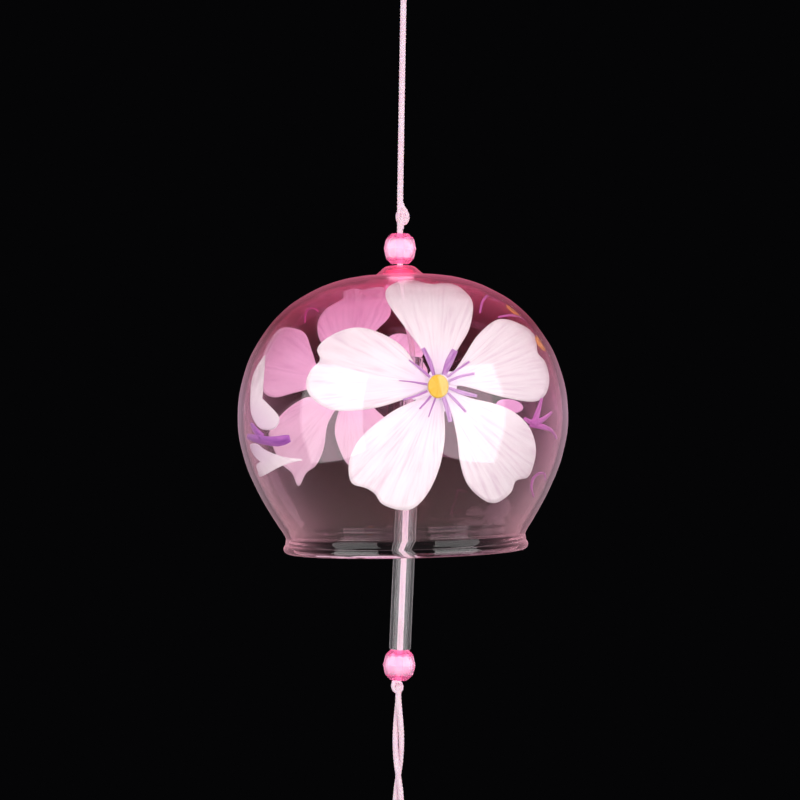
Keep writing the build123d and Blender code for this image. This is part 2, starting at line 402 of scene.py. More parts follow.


# %% [markdown]
# Three lengths of cord carry the weight. One is doubled into the loop over the hook, one
# drops from there through the top bead and the crown to the stopper bead, and one goes
# on through the glass tube to the lower bead. A straight cylinder would do for a taut
# cord, but a few given points keep the small leans that a real one has.

# %% Hang loop, upper cord and clapper cord
hang_loop_points = [
    (0.8, 0, -19.5), (1.9, 0, -14.2), (4.3, 0, -7.2), (4.65, 0, -2.0), (1.93, 0, 0.75),
    (-1.93, 0, 0.75), (-4.65, 0, -2.0), (-4.3, 0, -7.2), (-1.9, 0, -14.2), (-0.8, 0, -19.5)]
upper_cord_points = [
    (0, 0, -20.3), (-0.15, 0, -29.3), (-0.45, 0, -46), (-0.75, 0, -65), (-0.9, 0, -74), (-0.9, 0, -83),
    (-0.9, 0, -97)]
clapper_cord_points = [
    (-0.4, 0, -98.9), (2.35, 0, -106.9), (1.98, 0, -115.3), (0.3, 0, -153), (-1.28, 0, -190)]

hang_cord, hang_line = braid_cord("hang_loop_cord", hang_loop_points, cord_width)
upper_cord, upper_line = braid_cord("bell_cord", upper_cord_points, cord_width)
clapper_cord, clapper_line = braid_cord("clapper_line", clapper_cord_points, cord_width)
belongs(hang_cord, "hanger", "cord", "hang_loop")
belongs(upper_cord, "cord", "cord", "upper_cord", "crown_cord")
belongs(clapper_cord, "clapper", "cord", "clapper_cord")
print("cord lengths", [round(length_of(line) / mm, 1) for line in (hang_line, upper_line, clapper_line)])

# %% [markdown]
# Below the lower bead the cord opens into two limp strands that wind once round each
# other. They are the same braid, a little thinner because nothing pulls on it.

# %% Tail strands
tail_spread = 0.8
tail_length = 28.5
tail_shares = [
    (0.00, -0.60, -0.06), (0.00, -1.00, 0.06), (0.71, -0.71, 0.25), (1.00, 0.00, 0.42),
    (0.71, 0.71, 0.57), (0.00, 1.00, 0.71), (-0.71, 0.71, 0.85), (-1.00, 0.00, 1.00), (-1.00, 0.00, 1.06)]
tail_top = lower_knot_centre / mm - Vector((0, 0, 1.7))


def tail_points(side):
    return [tuple(tail_top + Vector((side * x * tail_spread, side * y * tail_spread, -down * tail_length)))
            for x, y, down in tail_shares]


for number, side in ((1, 1), (2, -1)):
    strand, strand_line = braid_cord(f"tail_cord_{number}", tail_points(side), strand_width)
    belongs(strand, "tail", "cord", f"tail_strand_{number}")

# %% [markdown]
# Each knot is an overhand knot pulled tight: the cord swings out to one side, goes
# round behind itself, comes over the front and dives back through. One given route
# makes them all, turned about the cord and scaled to each knot's size.

# %% Knots
overhand_points = [
    (-0.06, 0.00, 3.3), (0.17, 0.00, 2.3), (0.90, -0.40, 1.45), (1.55, -0.30, -0.1), (1.10, 0.10, -1.55),
    (-0.10, 0.80, -1.6), (-0.72, 0.55, -0.8), (-0.78, -0.25, 0.4), (-0.30, -0.90, 1.1), (0.50, -0.85, 0.8),
    (0.50, -0.25, -0.1), (0.05, -0.30, -0.9), (0.00, -0.15, -2.1), (0.00, 0.00, -3.1)]


def overhand_knot(name, centre, width, size, turn):
    """A tight overhand knot about centre, its route scaled by size and turned in degrees."""
    turned = Matrix.Rotation(math.radians(turn), 3, "Z")
    points = [tuple(centre / mm + turned @ Vector(point) * size) for point in overhand_points]
    return braid_cord(name, points, width)[0]


# Name, body, solid, centre, width of the cord in mm, size, and turn in degrees.
knots = [
    ("hang_knot", "hanger", "loop_knot", hinge_at["cord_swing"] + at_rest(0, 0, 0.2), 1.5, 1.15, 30),
    ("knot_above_crown", "cord", "upper_knot", at_rest(-0.6, 0, -76.2), 1.35, 0.98, 0),
    ("knot_under_stopper", "cord", "stopper_knot", stopper_knot_centre, 1.2, 0.8, 140),
    ("knot_under_bead", "clapper", "lower_knot", lower_knot_centre, 1.2, 0.85, 200),
    ("knot_above_strip", "tail", "strip_knot", strip_knot_centre, 1.4, 1.0, 80),
]
for name, body, node, centre, width, size, turn in knots:
    belongs(overhand_knot(name, centre, width * mm, size, turn), body, "cord", node)

# %% [markdown]
# The paper hangs from a small loop of the same thin cord.

# %% Strip loop
strip_loop_bottom = hinge_at["strip_rock"] / mm
loop_up = strip_knot_centre / mm - strip_loop_bottom
strip_loop_shares = [
    (0.4, 0.85), (0.95, 0.62), (1.95, 0.42), (2.1, 0.2), (0.88, -0.002),
    (-0.88, -0.002), (-2.1, 0.2), (-1.95, 0.42), (-0.95, 0.62), (-0.4, 0.85)]
strip_loop_points = [tuple(strip_loop_bottom + Vector((0, across, up * loop_up.z)))
                     for across, up in strip_loop_shares]
strip_cord = braid_cord("strip_loop_cord", strip_loop_points, strand_width)[0]
belongs(strip_cord, "strip_loop", "cord", "strip_loop")

# %% [markdown]
# The glass is blown into a globe and cut open at the mouth, where the edge is heated
# until it rolls into a lip. So its section is one closed outline: the skin, the rolled
# lip, the inner wall and the rounded edge of the crown's hole. The outline is spun
# once round the axis. The skin is a Bézier curve with automatic handles.

# %% Outline of the blown glass
skin_shares = [
    (0.0634, 0.0), (0.0763, 0.0006), (0.0954, 0.0061), (0.1226, 0.0196), (0.1542, 0.0321),
    (0.235, 0.0345), (0.410, 0.0550), (0.565, 0.0930), (0.711, 0.1500), (0.853, 0.2460),
    (0.951, 0.3600), (1.000, 0.5300), (0.966, 0.6640), (0.889, 0.7790), (0.772, 0.9000),
    (0.7396, 0.9290), (0.7251, 0.9460)]
lip_roll = 2.4 * mm
lip_stand_out = 0.65 * mm
neck_radius = 29.15 * mm
spin_steps = 192


def smooth_line(points):
    """Points read from a Bézier curve that passes through the given ones."""
    data = bpy.data.curves.new("outline", "CURVE")
    data.dimensions = "3D"
    spline = data.splines.new("BEZIER")
    spline.bezier_points.add(len(points) - 1)
    for point, place in zip(spline.bezier_points, points):
        point.co = (place[0], 0, place[1])
        point.handle_left_type = point.handle_right_type = "AUTO"
    spline.resolution_u = 10
    curve = put_object("outline", data)
    line = read_line(curve)
    bpy.data.objects.remove(curve)
    return np.array([(x, z) for x, y, z in line])


def unit(rows):
    """Each row scaled to a length of 1."""
    return rows / np.linalg.norm(rows, axis=1)[:, None]


def inward(line, depth):
    """A line moved sideways by this depth, which takes the skin's outline into the wall."""
    run = unit(np.gradient(line, axis=0))
    return line + np.stack([run[:, 1], -run[:, 0]], axis=1) * depth


skin = smooth_line([(r * bell_radius, crown_height - d * bell_height) for r, d in skin_shares])
print("skin outline of", len(skin), "points")


def face_outwards(piece):
    """Recalculates the normals of a closed mesh."""
    work = bmesh.new()
    work.from_mesh(piece.data)
    bmesh.ops.recalc_face_normals(work, faces=work.faces)
    work.to_mesh(piece.data)
    work.free()


def spin(name, outline, material, steps=spin_steps):
    """Spins a closed outline (radius, height) once round the upright axis."""
    count = len(outline)
    angles = np.arange(steps) * 2 * math.pi / steps
    vertices = [(r * math.cos(a), r * math.sin(a), z) for a in angles for r, z in outline]
    faces = []
    for turn in range(steps):
        here, there = turn * count, (turn + 1) % steps * count
        for i in range(count):
            j = (i + 1) % count
            faces.append((here + i, here + j, there + j, there + i))
    piece = new_piece(name, vertices, faces, material)
    face_outwards(piece)
    return piece


tilt = (Matrix.Translation(stopper_centre) @ Matrix.Rotation(-bell_tilt, 4, "Y")
        @ Matrix.Translation(-stopper_centre) @ Matrix.Translation((stopper_centre.x, 0, 0)))


def arc_points(centre, radius, first, last, count):
    """Points on an arc in the section, from one angle to another in degrees."""
    return [(centre[0] + radius * math.cos(a), centre[1] + radius * math.sin(a))
            for a in np.radians(np.linspace(first, last, count))]


# %% [markdown]
# Soda-lime glass is clear with an index near 1.5. The lacquer colours it rose red at
# the crown and fades to almost nothing at the lip, so the tint is a ramp over height.
# Where the wall is seen edge on, and near the crown, an opaque pink is mixed in. It is
# partly the lacquer's tint seen along the wall and partly a painted rim highlight.
# Blown glass is never quite even, and a faint, broad bump bends its reflections.

# %% Glass finishes


lip_height = crown_height - bell_height
glass_index = 1.5


def height_share(tree):
    """0 at the lip and 1 at the crown, from the object's own place."""
    height = add_node(tree, "ShaderNodeSeparateXYZ", {0: own_place(tree)}).outputs["Z"]
    return map_range(tree, height, lip_height, crown_height)


def blown_glass(tree):
    share = height_share(tree)
    # Waves about 18 mm apart, as a blowpipe leaves them.
    waves = noise(tree, own_place(tree), 55.0, 1.0)
    colour = colour_ramp(tree, share, [(0.00, "#fffcfc"), (0.955, "#fff8fa"), (0.975, "#ffb3d0")])
    glass = principled(tree, colour, 0.01, {
        "IOR": glass_index, "Transmission Weight": 1.0, "Normal": bumpy(tree, waves, 0.08, 0.4 * mm)})
    # Opaque pink where the wall is seen edge on: partly the lacquer's tint, partly a painted rim highlight.
    rim_tint_and_highlight = colour_ramp(tree, share, [
        (0.00, "#ffb0c4"), (0.20, "#e0b4c4"), (0.50, "#ecb8d4"), (0.80, "#ac3858"), (0.96, "#f66a94")])
    at_crown = map_range(tree, share, 0.95, 0.975, 0.0, 0.16)
    rim_and_crown_pink = maths(tree, "MULTIPLY_ADD", edge_on(tree, 3.0), 0.75, at_crown)
    return mix_shader(tree, rim_and_crown_pink, glass, principled(tree, rim_tint_and_highlight, 0.3))


def pink_lacquer(tree):
    share = height_share(tree)
    tint = colour_ramp(tree, share, [
        (0.00, "#fffdfe"), (0.18, "#fffafd"), (0.45, "#fff4fb"), (0.75, "#ffeffa"), (1.00, "#ffe8f6")])
    scatter = colour_ramp(tree, share, [
        (0.00, "#f0cfc8"), (0.45, "#e8a8a8"), (0.75, "#b83a2c"), (0.97, "#fd6298")])
    cover = colour_ramp(tree, share, [
        (0.00, 0.016), (0.30, 0.012), (0.65, 0.010), (0.92, 0.030), (0.97, 0.28)])
    # Spray droplets about 1 mm apart, coarser than real so that they show.
    speckle = noise(tree, own_place(tree), 900.0, 2.0)
    sprayed = maths(tree, "MULTIPLY", cover, map_range(tree, speckle, 0.0, 1.0, 0.8, 1.2))
    covered = maths(tree, "MULTIPLY_ADD", edge_on(tree, 5.0), 0.12, sprayed)
    clear = value_of(tree, "ShaderNodeBsdfTransparent", {"Color": tint})
    return mix_shader(tree, covered, clear, principled(tree, scatter, 0.35))


bell_glass_finish = make_material("blown soda-lime glass", blown_glass)
lacquer = make_material("sprayed pink lacquer", pink_lacquer)

# %% [markdown]
# A spun outline gives an even wall, as turning on the blowpipe does. The lacquer is a
# second, very thin shell inside it. It could be a coat in the glass's own shader, but
# the paint lies between the two and needs the lacquer over it. Neither shell casts a
# shadow, or else a clear wall would darken all that it holds.

# %% Spin the bell and its lacquer


def glass_outline():
    """The closed section: skin, rolled lip, inner wall, rounded hole edge."""
    inner = inward(skin, wall)
    lip_centre = (neck_radius + lip_stand_out - lip_roll / 2, lip_height + lip_roll / 2)
    # The roll runs from the skin, down round the mouth and up to the inner wall.
    lip = arc_points(lip_centre, lip_roll / 2, first=52, last=-200, count=22)
    hole_centre = (skin[0] + inner[0]) / 2
    to_skin = math.degrees(math.atan2(*(skin[0] - hole_centre)[::-1]))
    # The hole's edge turns half round, and stops one step short of either wall.
    step = 18
    edge = arc_points(hole_centre, wall / 2, first=to_skin + 180 - step, last=to_skin + step, count=9)
    return [tuple(p) for p in skin] + lip + [tuple(p) for p in inner[::-1]] + edge


bell = spin("blown_bell", glass_outline(), bell_glass_finish)
bell.data.transform(tilt)
bell.visible_shadow = False
belongs(bell, "bell", "bell_glass", "bell_glass")

film_depth = 0.12 * mm
film_thickness = 0.02 * mm
points_unsprayed = 6


def film_outline():
    """The lacquer's section: a skin over the inner wall, a hair off the paint."""
    near = inward(skin, wall + film_depth)[points_unsprayed:]
    far = inward(skin, wall + film_depth + film_thickness)[points_unsprayed:]
    return [tuple(p) for p in near] + [tuple(p) for p in far[::-1]]


film = spin("lacquer_film", film_outline(), lacquer)
film.data.transform(tilt)
film.visible_shadow = False
belongs(film, "bell", "bell_glass")

# %% [markdown]
# The blossoms are painted by hand on the inside of the glass: first what must lie in
# front, the stamens and the yellow eye, then the white petals over them. They could be
# a picture on the glass, but real paint has an edge, a thickness and a back. So each is
# drawn as it is seen from the front, and laid on the near or the far wall along the
# line of sight, which bends where it enters the glass.

# %% Where a line of sight meets the glass


def wall_radius(height, depth):
    """Radius of the inner wall, less a depth, at these heights of the upright bell."""
    line = inward(skin, wall + depth)
    order = np.argsort(line[:, 1])
    return np.interp(height, line[order, 1], line[order, 0])


def meet_wall(start, way, inside, outside, depth):
    """Where lines from start along way cross the wall, halving between two distances."""
    halvings = 40
    for _ in range(halvings):
        half_way = (inside + outside) / 2
        place = start + way * half_way[:, None]
        within = np.hypot(place[:, 0], place[:, 1]) < wall_radius(place[:, 2], depth)
        inside = np.where(within, half_way, inside)
        outside = np.where(within, outside, half_way)
    return start + way * inside[:, None]


def bend_at_skin(place, way):
    """The way of each line of sight inside the glass, by the law of refraction."""
    step = 0.2 * mm
    above, below = wall_radius(place[:, 2] + step, -wall), wall_radius(place[:, 2] - step, -wall)
    slope = (above - below) / (2 * step)
    radius = np.hypot(place[:, 0], place[:, 1])
    normal = unit(np.stack([place[:, 0] / radius, place[:, 1] / radius, -slope], axis=1))
    facing = np.clip(-np.sum(way * normal, axis=1), 0, 1)[:, None]
    sunk = np.sqrt(1 - (1 - facing ** 2) / glass_index ** 2)
    return way / glass_index + (facing / glass_index - sunk) * normal


def lay_on_glass(picture_points, depth, far=False):
    """Where the lines of sight through these picture points meet the inner wall."""
    points = np.array(picture_points, dtype=float)
    middle = picture_px / 2
    sight = np.stack([(points[:, 0] - middle) / focal_px, np.ones(len(points)),
                      (middle - points[:, 1]) / focal_px], axis=1)
    upright = np.array(tilt.inverted())
    start = (upright @ np.array([*eye, 1.0]))[:3]
    sight = unit(sight @ upright[:3, :3].T)
    nearest = -(sight[:, :2] @ start[:2]) / np.sum(sight[:, :2] ** 2, axis=1)
    reach = bell_radius * 1.1
    if far:
        return meet_wall(start, sight, nearest, nearest + reach, depth)
    on_skin = meet_wall(start, sight, nearest, nearest - reach, -wall)
    in_glass = bend_at_skin(on_skin, sight)
    return meet_wall(on_skin, in_glass, np.full(len(points), 3 * wall), np.zeros(len(points)), depth)


print("inner wall at half height", round(float(wall_radius(crown_height - bell_height / 2, 0)) / mm, 2), "mm")

# %% [markdown]
# A petal is an outline filled with a web of faces that follows the glass, and a second
# web a little deeper closes it to a thin slab. Filling it with one flat face would be
# simpler, but that would cut straight through the curved wall.

# %% A slab of paint


def closed_curve(points, count):
    """A smooth closed line through given points, evenly stepped."""
    points = np.array(points, dtype=float)
    before, after, beyond = np.roll(points, 1, 0), np.roll(points, -1, 0), np.roll(points, -2, 0)
    fine, fine_steps = [], 12
    for t in np.linspace(0, 1, fine_steps, endpoint=False):
        bend = (2 * before - 5 * points + 4 * after - beyond) * t ** 2
        twist = (3 * points - before - 3 * after + beyond) * t ** 3
        fine.append(0.5 * (2 * points + (after - before) * t + bend + twist))
    line = np.stack(fine, axis=1).reshape(-1, 2)
    steps = np.linalg.norm(np.roll(line, -1, 0) - line, axis=1)
    reach = np.concatenate([[0], np.cumsum(steps)])
    wanted = np.linspace(0, reach[-1], count, endpoint=False)
    whole = np.vstack([line, line[:1]])
    return np.stack([np.interp(wanted, reach, whole[:, k]) for k in (0, 1)], axis=1)


def painted_piece(name, vertices, faces, finish, round_eye, from_eye):
    """A slab on the leaning bell, with a map of where the brush was at each vertex."""
    piece = new_piece(name, vertices, faces, finish)
    layer = piece.data.uv_layers.new(name="brush")
    for loop in piece.data.loops:
        layer.data[loop.index].uv = (round_eye[loop.vertex_index], from_eye[loop.vertex_index])
    face_outwards(piece)
    piece.data.transform(tilt)
    return piece


def paint_patch(name, outline, heart, depth, thickness, finish, far=False, rings=9, eye_point=None):
    """A thin closed slab of paint: the outline filled with rings round its heart."""
    outline = np.array(outline)
    heart = np.array(heart, dtype=float)
    count = len(outline)
    web = [heart + (outline - heart) * (k / rings) for k in range(1, rings + 1)]
    flat = np.vstack([heart[None, :], *web])
    vertices = np.vstack([lay_on_glass(flat, depth, far), lay_on_glass(flat, depth + thickness, far)])
    total = len(flat)
    rim = 1 + (rings - 1) * count
    faces = []
    for i in range(count):
        j = (i + 1) % count
        for base, way in ((0, 1), (total, -1)):
            faces.append((base, base + 1 + i, base + 1 + j)[::way])
            for ring in range(rings - 1):
                a = base + 1 + ring * count
                b = a + count
                faces.append((a + i, b + i, b + j, a + j)[::way])
        faces.append((rim + i, total + rim + i, total + rim + j, rim + j))
    centre = np.array(eye_point if eye_point is not None else heart, dtype=float)
    apart = np.vstack([flat, flat]) - centre
    # The map holds the angle round the eye in radians, and the distance from it in 100 px.
    angle, distance = np.arctan2(apart[:, 1], apart[:, 0]), np.hypot(apart[:, 0], apart[:, 1])
    return painted_piece(name, vertices, faces, finish, angle, distance / 100)


def join_pieces(name, pieces):
    """Makes one mesh of several pieces of one body."""
    work = bmesh.new()
    finishes = []
    for piece in pieces:
        own = piece.data.materials[0]
        if own not in finishes:
            finishes.append(own)
        before = len(work.faces)
        work.from_mesh(piece.data)
        work.faces.ensure_lookup_table()
        for face in work.faces[before:]:
            face.material_index = finishes.index(own)
    mesh = bpy.data.meshes.new(name)
    work.to_mesh(mesh)
    work.free()
    for finish in finishes:
        mesh.materials.append(finish)
    for piece in pieces:
        bpy.data.objects.remove(piece)
    return put_object(name, mesh)


# %% [markdown]
# Glass paint is a gouache in a clear binder, so thin that light from behind glows
# through it. A loaded brush leaves fine ridges and faint pink streaks that run from the
# eye of the flower to the tips, so the noise is stretched along each petal by its UV map.

# %% Paint finishes


def brushed_paint(tree, near_eye, shades, streaks_round, thinness):
    """Paint in streaks of a deep, a middle and a light shade, thin near the eye."""
    brush = value_of(tree, "ShaderNodeUVMap", uv_map="brush")
    # So many streaks to a radian round the eye, 0.5 mm apart half way along a petal.
    stretched = value_of(tree, "ShaderNodeMapping", {"Vector": brush, "Scale": (streaks_round, 2.2, 1.0)})
    streaks = noise(tree, stretched, 1.0, 4.0, Roughness=0.6)
    colour = colour_ramp(tree, streaks, list(zip((0.34, 0.46, 0.60), shades)))
    from_eye = add_node(tree, "ShaderNodeSeparateXYZ", {0: brush}).outputs["Y"]
    # The paint thins from 10 mm off the eye to 2.5 mm off it.
    thin = maths(tree, "MULTIPLY", map_range(tree, from_eye, 0.42, 0.10), streaks)
    shade = add_node(tree, "ShaderNodeMix", {0: thin, 6: colour, 7: linear(near_eye)},
                     data_type="RGBA").outputs[2]
    opaque = principled(tree, shade, 0.4, {"Normal": bumpy(tree, streaks, 0.3, 0.05 * mm)})
    glow = value_of(tree, "ShaderNodeBsdfTranslucent", {"Color": shade})
    return mix_shader(tree, thinness, opaque, glow)


def glass_paint(hue, near_eye, shades, streaks_round=9.0, thinness=0.15):
    return make_material(f"{hue} glass paint", brushed_paint, near_eye, shades, streaks_round, thinness)


petal_white = glass_paint("white", "#efd6f2", ("#f0e6ed", "#faf6f8", "#fffdfe"), 26.0, 0.45)
stamen_violet = glass_paint("violet", "#b365c8", ("#9c48b4", "#b35ec6", "#cb74d2"))
stamen_magenta = glass_paint("magenta", "#cb67bd", ("#bd55ae", "#cb67bd", "#dc8acf"))
stamen_lilac = glass_paint("lilac", "#c583ce", ("#b974c4", "#c98fd2", "#ddb0e2"))
eye_yellow = glass_paint("yellow", "#f7cf3a", ("#eebc2a", "#f7d050", "#fae08a"), 6.0)
bud_orange = glass_paint("amber", "#ffae34", ("#f79a24", "#ffae34", "#ffc662"), 6.0)

# %% [markdown]
# The big blossom faces the viewer. Its five petals are notched at the tip, as a cherry
# petal is, and were traced as they are seen from the front. A last thin wash,
# its heart, joins them behind the yellow eye. Depths are measured from the inner wall,
# and what was painted first has the smallest.

# %% Front blossom
paint_thickness = 0.04 * mm
stamen_depth = 0.02 * mm
petal_depth = 0.065 * mm
heart_depth = 0.107 * mm
heart_thickness = 0.01 * mm
petal_steps = 84

front_eye_px = (438.3, 386.3)
front_petals_px = {
    "top": [
        (434, 375), (428, 361), (419, 346), (404, 326), (388, 303), (386, 290), (397, 281.5), (414, 279.5),
        (431, 283.6), (450, 282.4), (465, 291), (473, 304), (469.6, 328), (458.7, 348), (450, 363),
        (443, 375)],
    "right": [
        (449, 378), (457, 367), (465.5, 354), (477, 336), (494, 321), (508.4, 319.5), (528, 328), (536, 338),
        (538, 353), (545.5, 362), (549.6, 379), (546, 394), (537.5, 401), (523, 401), (498.7, 396),
        (474.5, 389), (462, 386), (449, 385)],
    "low_right": [
        (448, 390), (462, 395), (474.5, 399), (496, 404), (515.6, 413), (530, 428), (536, 447), (534, 464),
        (528, 477.5), (516, 481), (510.8, 493), (496, 503), (482, 499), (467, 483.5), (460, 462),
        (457, 437.5), (452, 416), (445, 398)],
    "low_left": [
        (430, 395), (414, 401), (390, 413), (363, 435), (352, 452), (348.4, 469), (352, 483.5), (365.4, 488),
        (375, 494), (382, 504), (399, 510), (414, 508), (428, 493), (439, 469), (444.5, 442), (444.5, 418),
        (441, 398)],
    "left": [
        (429, 380), (416, 365), (404, 348), (387, 336), (365, 328), (346, 329), (326.6, 338), (317, 349),
        (320, 360), (311, 369.6), (306, 382), (310, 396), (326.6, 408), (346, 411), (375, 408), (399, 401),
        (415, 395), (429, 389)],
}
front_heart_px = [
    (431, 371), (438, 368), (446, 371), (455, 373), (457, 385), (455, 395), (449, 408), (442, 412),
    (437, 402), (424, 400), (412, 399), (420, 390), (424, 381)]


def on_bell(name, pieces):
    """Joins painted pieces into one that rides on the bell."""
    belongs(join_pieces(name, pieces), "bell", "bell_glass")


def blossom(name, petals, eye_px, heart_px, far=False):
    """White petals on the glass, their brush marks running from the eye, and its heart over them."""
    made = [paint_patch(label, closed_curve(points, petal_steps), np.mean(points, axis=0), petal_depth,
                        paint_thickness, petal_white, far, 12, eye_px) for label, points in petals.items()]
    made.append(paint_patch("heart", closed_curve(heart_px, petal_steps), eye_px, heart_depth,
                            heart_thickness, petal_white, far, 10, eye_px))
    on_bell(f"{name}_petals", made)


def ellipse(centre, across, up, lean=0.0, count=48):
    """The outline of a dab of paint."""
    turn = math.radians(lean)
    angles = np.linspace(0, 2 * math.pi, count, endpoint=False)
    flat = np.stack([np.cos(angles) * across / 2, np.sin(angles) * up / 2], axis=1)
    spun = flat @ np.array([[math.cos(turn), math.sin(turn)], [-math.sin(turn), math.cos(turn)]])
    return spun + np.array(centre)


blossom("front_blossom", front_petals_px, front_eye_px, front_heart_px)
front_eye = paint_patch("front_eye", ellipse(front_eye_px, 20.8, 23.7), front_eye_px, stamen_depth / 2,
                        paint_thickness / 2, eye_yellow, rings=5)
belongs(front_eye, "bell", "bell_glass")

# %% [markdown]
# A stamen is one stroke of a loaded brush, widest where the brush is pressed and thin
# where it lifts. So a stroke is a line with a width at each point, laid on the glass as
# a thin band. A row of dots would make an uneven edge.

# %% Stamens


def stroke(points, widths, finish, far=False):
    """One brush stroke through picture points, with its width at each."""
    points = np.array(points, dtype=float)
    shares = np.linspace(0, 1, 4 * len(points))
    known = np.linspace(0, 1, len(points))
    line = np.stack([np.interp(shares, known, points[:, k]) for k in (0, 1)], axis=1)
    roundings = 3
    for _ in range(roundings):
        line[1:-1] = (line[:-2] + 2 * line[1:-1] + line[2:]) / 4
    half = np.interp(shares, known, widths)[:, None] / 2
    deeper = stamen_depth + paint_thickness / 2
    lanes = ((1, stamen_depth), (-1, stamen_depth), (-1, deeper), (1, deeper))
    vertices = np.vstack([lay_on_glass(inward(line, -half * way), depth, far) for way, depth in lanes])
    count = len(line)
    faces = []
    for i in range(count - 1):
        for lane in range(4):
            a, b = lane * count, (lane + 1) % 4 * count
            faces.append((a + i, a + i + 1, b + i + 1, b + i))
    faces.append((0, count, 2 * count, 3 * count))
    faces.append(tuple(lane * count + count - 1 for lane in (3, 2, 1, 0)))
    # The map is narrow across the band, so that the streaks run along it.
    narrow = 0.3
    across, along = np.repeat([0, narrow, narrow, 0], count), np.tile(np.arange(count) / count, 4)
    return painted_piece("stroke", vertices, faces, finish, across, along)


front_stamens_px = [
    ([(434, 375), (430, 362), (423, 348)], (3.0, 5.0, 4.0)),
    ([(444, 375), (449, 362), (455, 350)], (5.0, 8.0, 6.5)),
    ([(447, 377), (457, 370), (469.5, 361.5)], (2.5, 2.2, 2.2)),
    ([(449, 381), (461, 376), (474.5, 373.5)], (2.5, 3.0, 2.6)),
    ([(449, 388), (463, 393), (477, 396)], (2.5, 4.5, 3.0)),
    ([(448, 393), (457, 402), (466, 412)], (2.5, 3.0, 2.4)),
    ([(443.5, 397), (447.5, 409), (450.5, 422)], (4.0, 5.0, 4.5)),
    ([(435.5, 398), (432, 407), (428.5, 417)], (2.0, 1.6, 1.0)),
    ([(431, 396), (426, 402), (419.5, 409)], (2.4, 2.2, 1.6)),
    ([(427.5, 391), (416, 396), (403, 400)], (2.0, 2.4, 1.8)),
    ([(427.5, 384.5), (414, 382), (399, 380.5)], (2.4, 1.8, 0.9)),
    ([(430, 377), (421, 369), (409, 360)], (2.6, 2.8, 1.2))]
on_bell("front_stamens", [stroke(*each, stamen_lilac) for each in front_stamens_px])

# %% [markdown]
# A second blossom is painted on the far wall. It is the same white, and it looks pink
# only because it is seen through the lacquer on both walls.

# %% Far blossom
back_eye_px = (348, 383)
back_petals_px = {
    "top": [
        (343, 372), (330, 350), (318, 338), (317, 317), (327.6, 304), (343, 291), (354, 286), (362, 289),
        (374, 284), (386.6, 286), (390, 300), (389.7, 312), (376, 330), (358, 352), (350, 372)],
    "left": [
        (338, 379), (318, 368), (311, 350), (303, 332), (290, 326), (278, 327), (267, 341), (259, 358),
        (257.5, 372), (261, 391), (273, 397), (290, 393), (306, 389), (324, 386)],
    "low_left": [
        (340, 391), (318, 396), (302, 398), (281, 413), (267, 433), (272, 450), (281, 466), (290, 474),
        (297, 487), (305, 474), (315, 466), (323, 448), (327, 424), (338, 404)],
    "low_right": [
        (346, 396), (337, 414), (334, 434), (341, 455), (350, 468), (362, 470), (372, 478), (386, 470),
        (398, 452), (394, 428), (376, 410), (360, 394)],
    "right": [
        (360, 388), (382, 396), (402, 396), (420, 386), (428, 372), (422, 358), (424, 348), (412, 336),
        (394, 334), (378, 346), (366, 362), (358, 376)],
}
back_heart_px = ellipse(back_eye_px, 34, 36, 0, 12)
blossom("back_blossom", back_petals_px, back_eye_px, back_heart_px, far=True)
back_eye = paint_patch("back_eye", ellipse(back_eye_px, 18, 20), back_eye_px, stamen_depth / 2,
                       paint_thickness / 2, eye_yellow, True, 5)
belongs(back_eye, "bell", "bell_glass")

# %% [markdown]
# At the left edge the petals of a third blossom turn away from the viewer, so they are
# narrow there, and round again from the side. They are pieces of their own.

# %% Side petals
side_eye_px = (243, 438)
side_petals_px = {
    "upper": [
        (265.2, 354.5), (256.5, 366.4), (251.5, 379.7), (250, 397.9), (251, 413.6), (256, 424.5),
        (262.7, 429.6), (273, 429.4), (278.5, 423.3), (278.7, 416.7), (273, 409.4), (262.7, 399),
        (257.6, 390.6), (257, 378.5), (260, 365)],
    "lower": [
        (249.5, 445.5), (252, 443.5), (257.9, 444.5), (265.2, 450), (282.1, 456.7), (302.7, 459.7),
        (290.6, 462.7), (278.5, 467.6), (266.4, 474.2), (259.5, 477), (257.5, 472), (256, 466.5),
        (258, 463), (260.3, 462), (255, 457.3), (251, 451)],
}
for label, points in side_petals_px.items():
    petal = paint_patch(f"side_petal_{label}", closed_curve(points, petal_steps), np.mean(points, axis=0),
                        petal_depth, paint_thickness, petal_white, False, 12, side_eye_px)
    belongs(petal, "bell", "bell_glass")
side_stamens_px = [
    ([(247, 436), (256, 439), (268, 441), (278, 441.5), (284, 440), (290, 438.5)], [5, 8, 9, 10.5, 10, 7]),
    ([(251, 423), (255, 430), (262, 437)], [2.5, 5.5, 7])]
on_bell("side_stamens", [stroke(*each, stamen_violet) for each in side_stamens_px])

# %% [markdown]
# Magenta twigs, two amber buds and one more far petal fill the right-hand side. They
# use the same strokes and slabs as the blossoms do.

# %% Twigs and buds
near_twigs_px = [
    ([(534, 424), (538, 412), (542, 398)], [7, 5, 2.5]),
    ([(534, 424), (544, 419), (552, 412)], [7, 4.5, 2.5]),
    ([(530, 424), (544, 427), (552, 430), (557, 439)], [6, 5.5, 3, 1.8]),
    ([(538, 424), (530, 422), (524, 418)], [7, 5, 3]),
    ([(534, 497), (531, 488), (533, 478), (539, 473), (545, 473), (546, 481)],
     [1.6, 2.2, 2.6, 2.4, 2.2, 1.6]),
    ([(480, 313), (482, 301), (490, 292), (499, 293), (508, 301)], [1.8, 2.4, 2.6, 2.4, 1.6]),
    ([(498, 317), (512, 314.5), (524, 317), (533, 325), (538, 335)], [1.8, 2.4, 2.6, 2.4, 1.6]),
]
far_twig_px = ([(303, 320), (304, 309), (311, 305), (317, 309)], [1.6, 2, 2, 1.4])
twigs = [stroke(*each, stamen_magenta) for each in near_twigs_px]
on_bell("twig_strokes", [*twigs, stroke(*far_twig_px, stamen_magenta, far=True)])
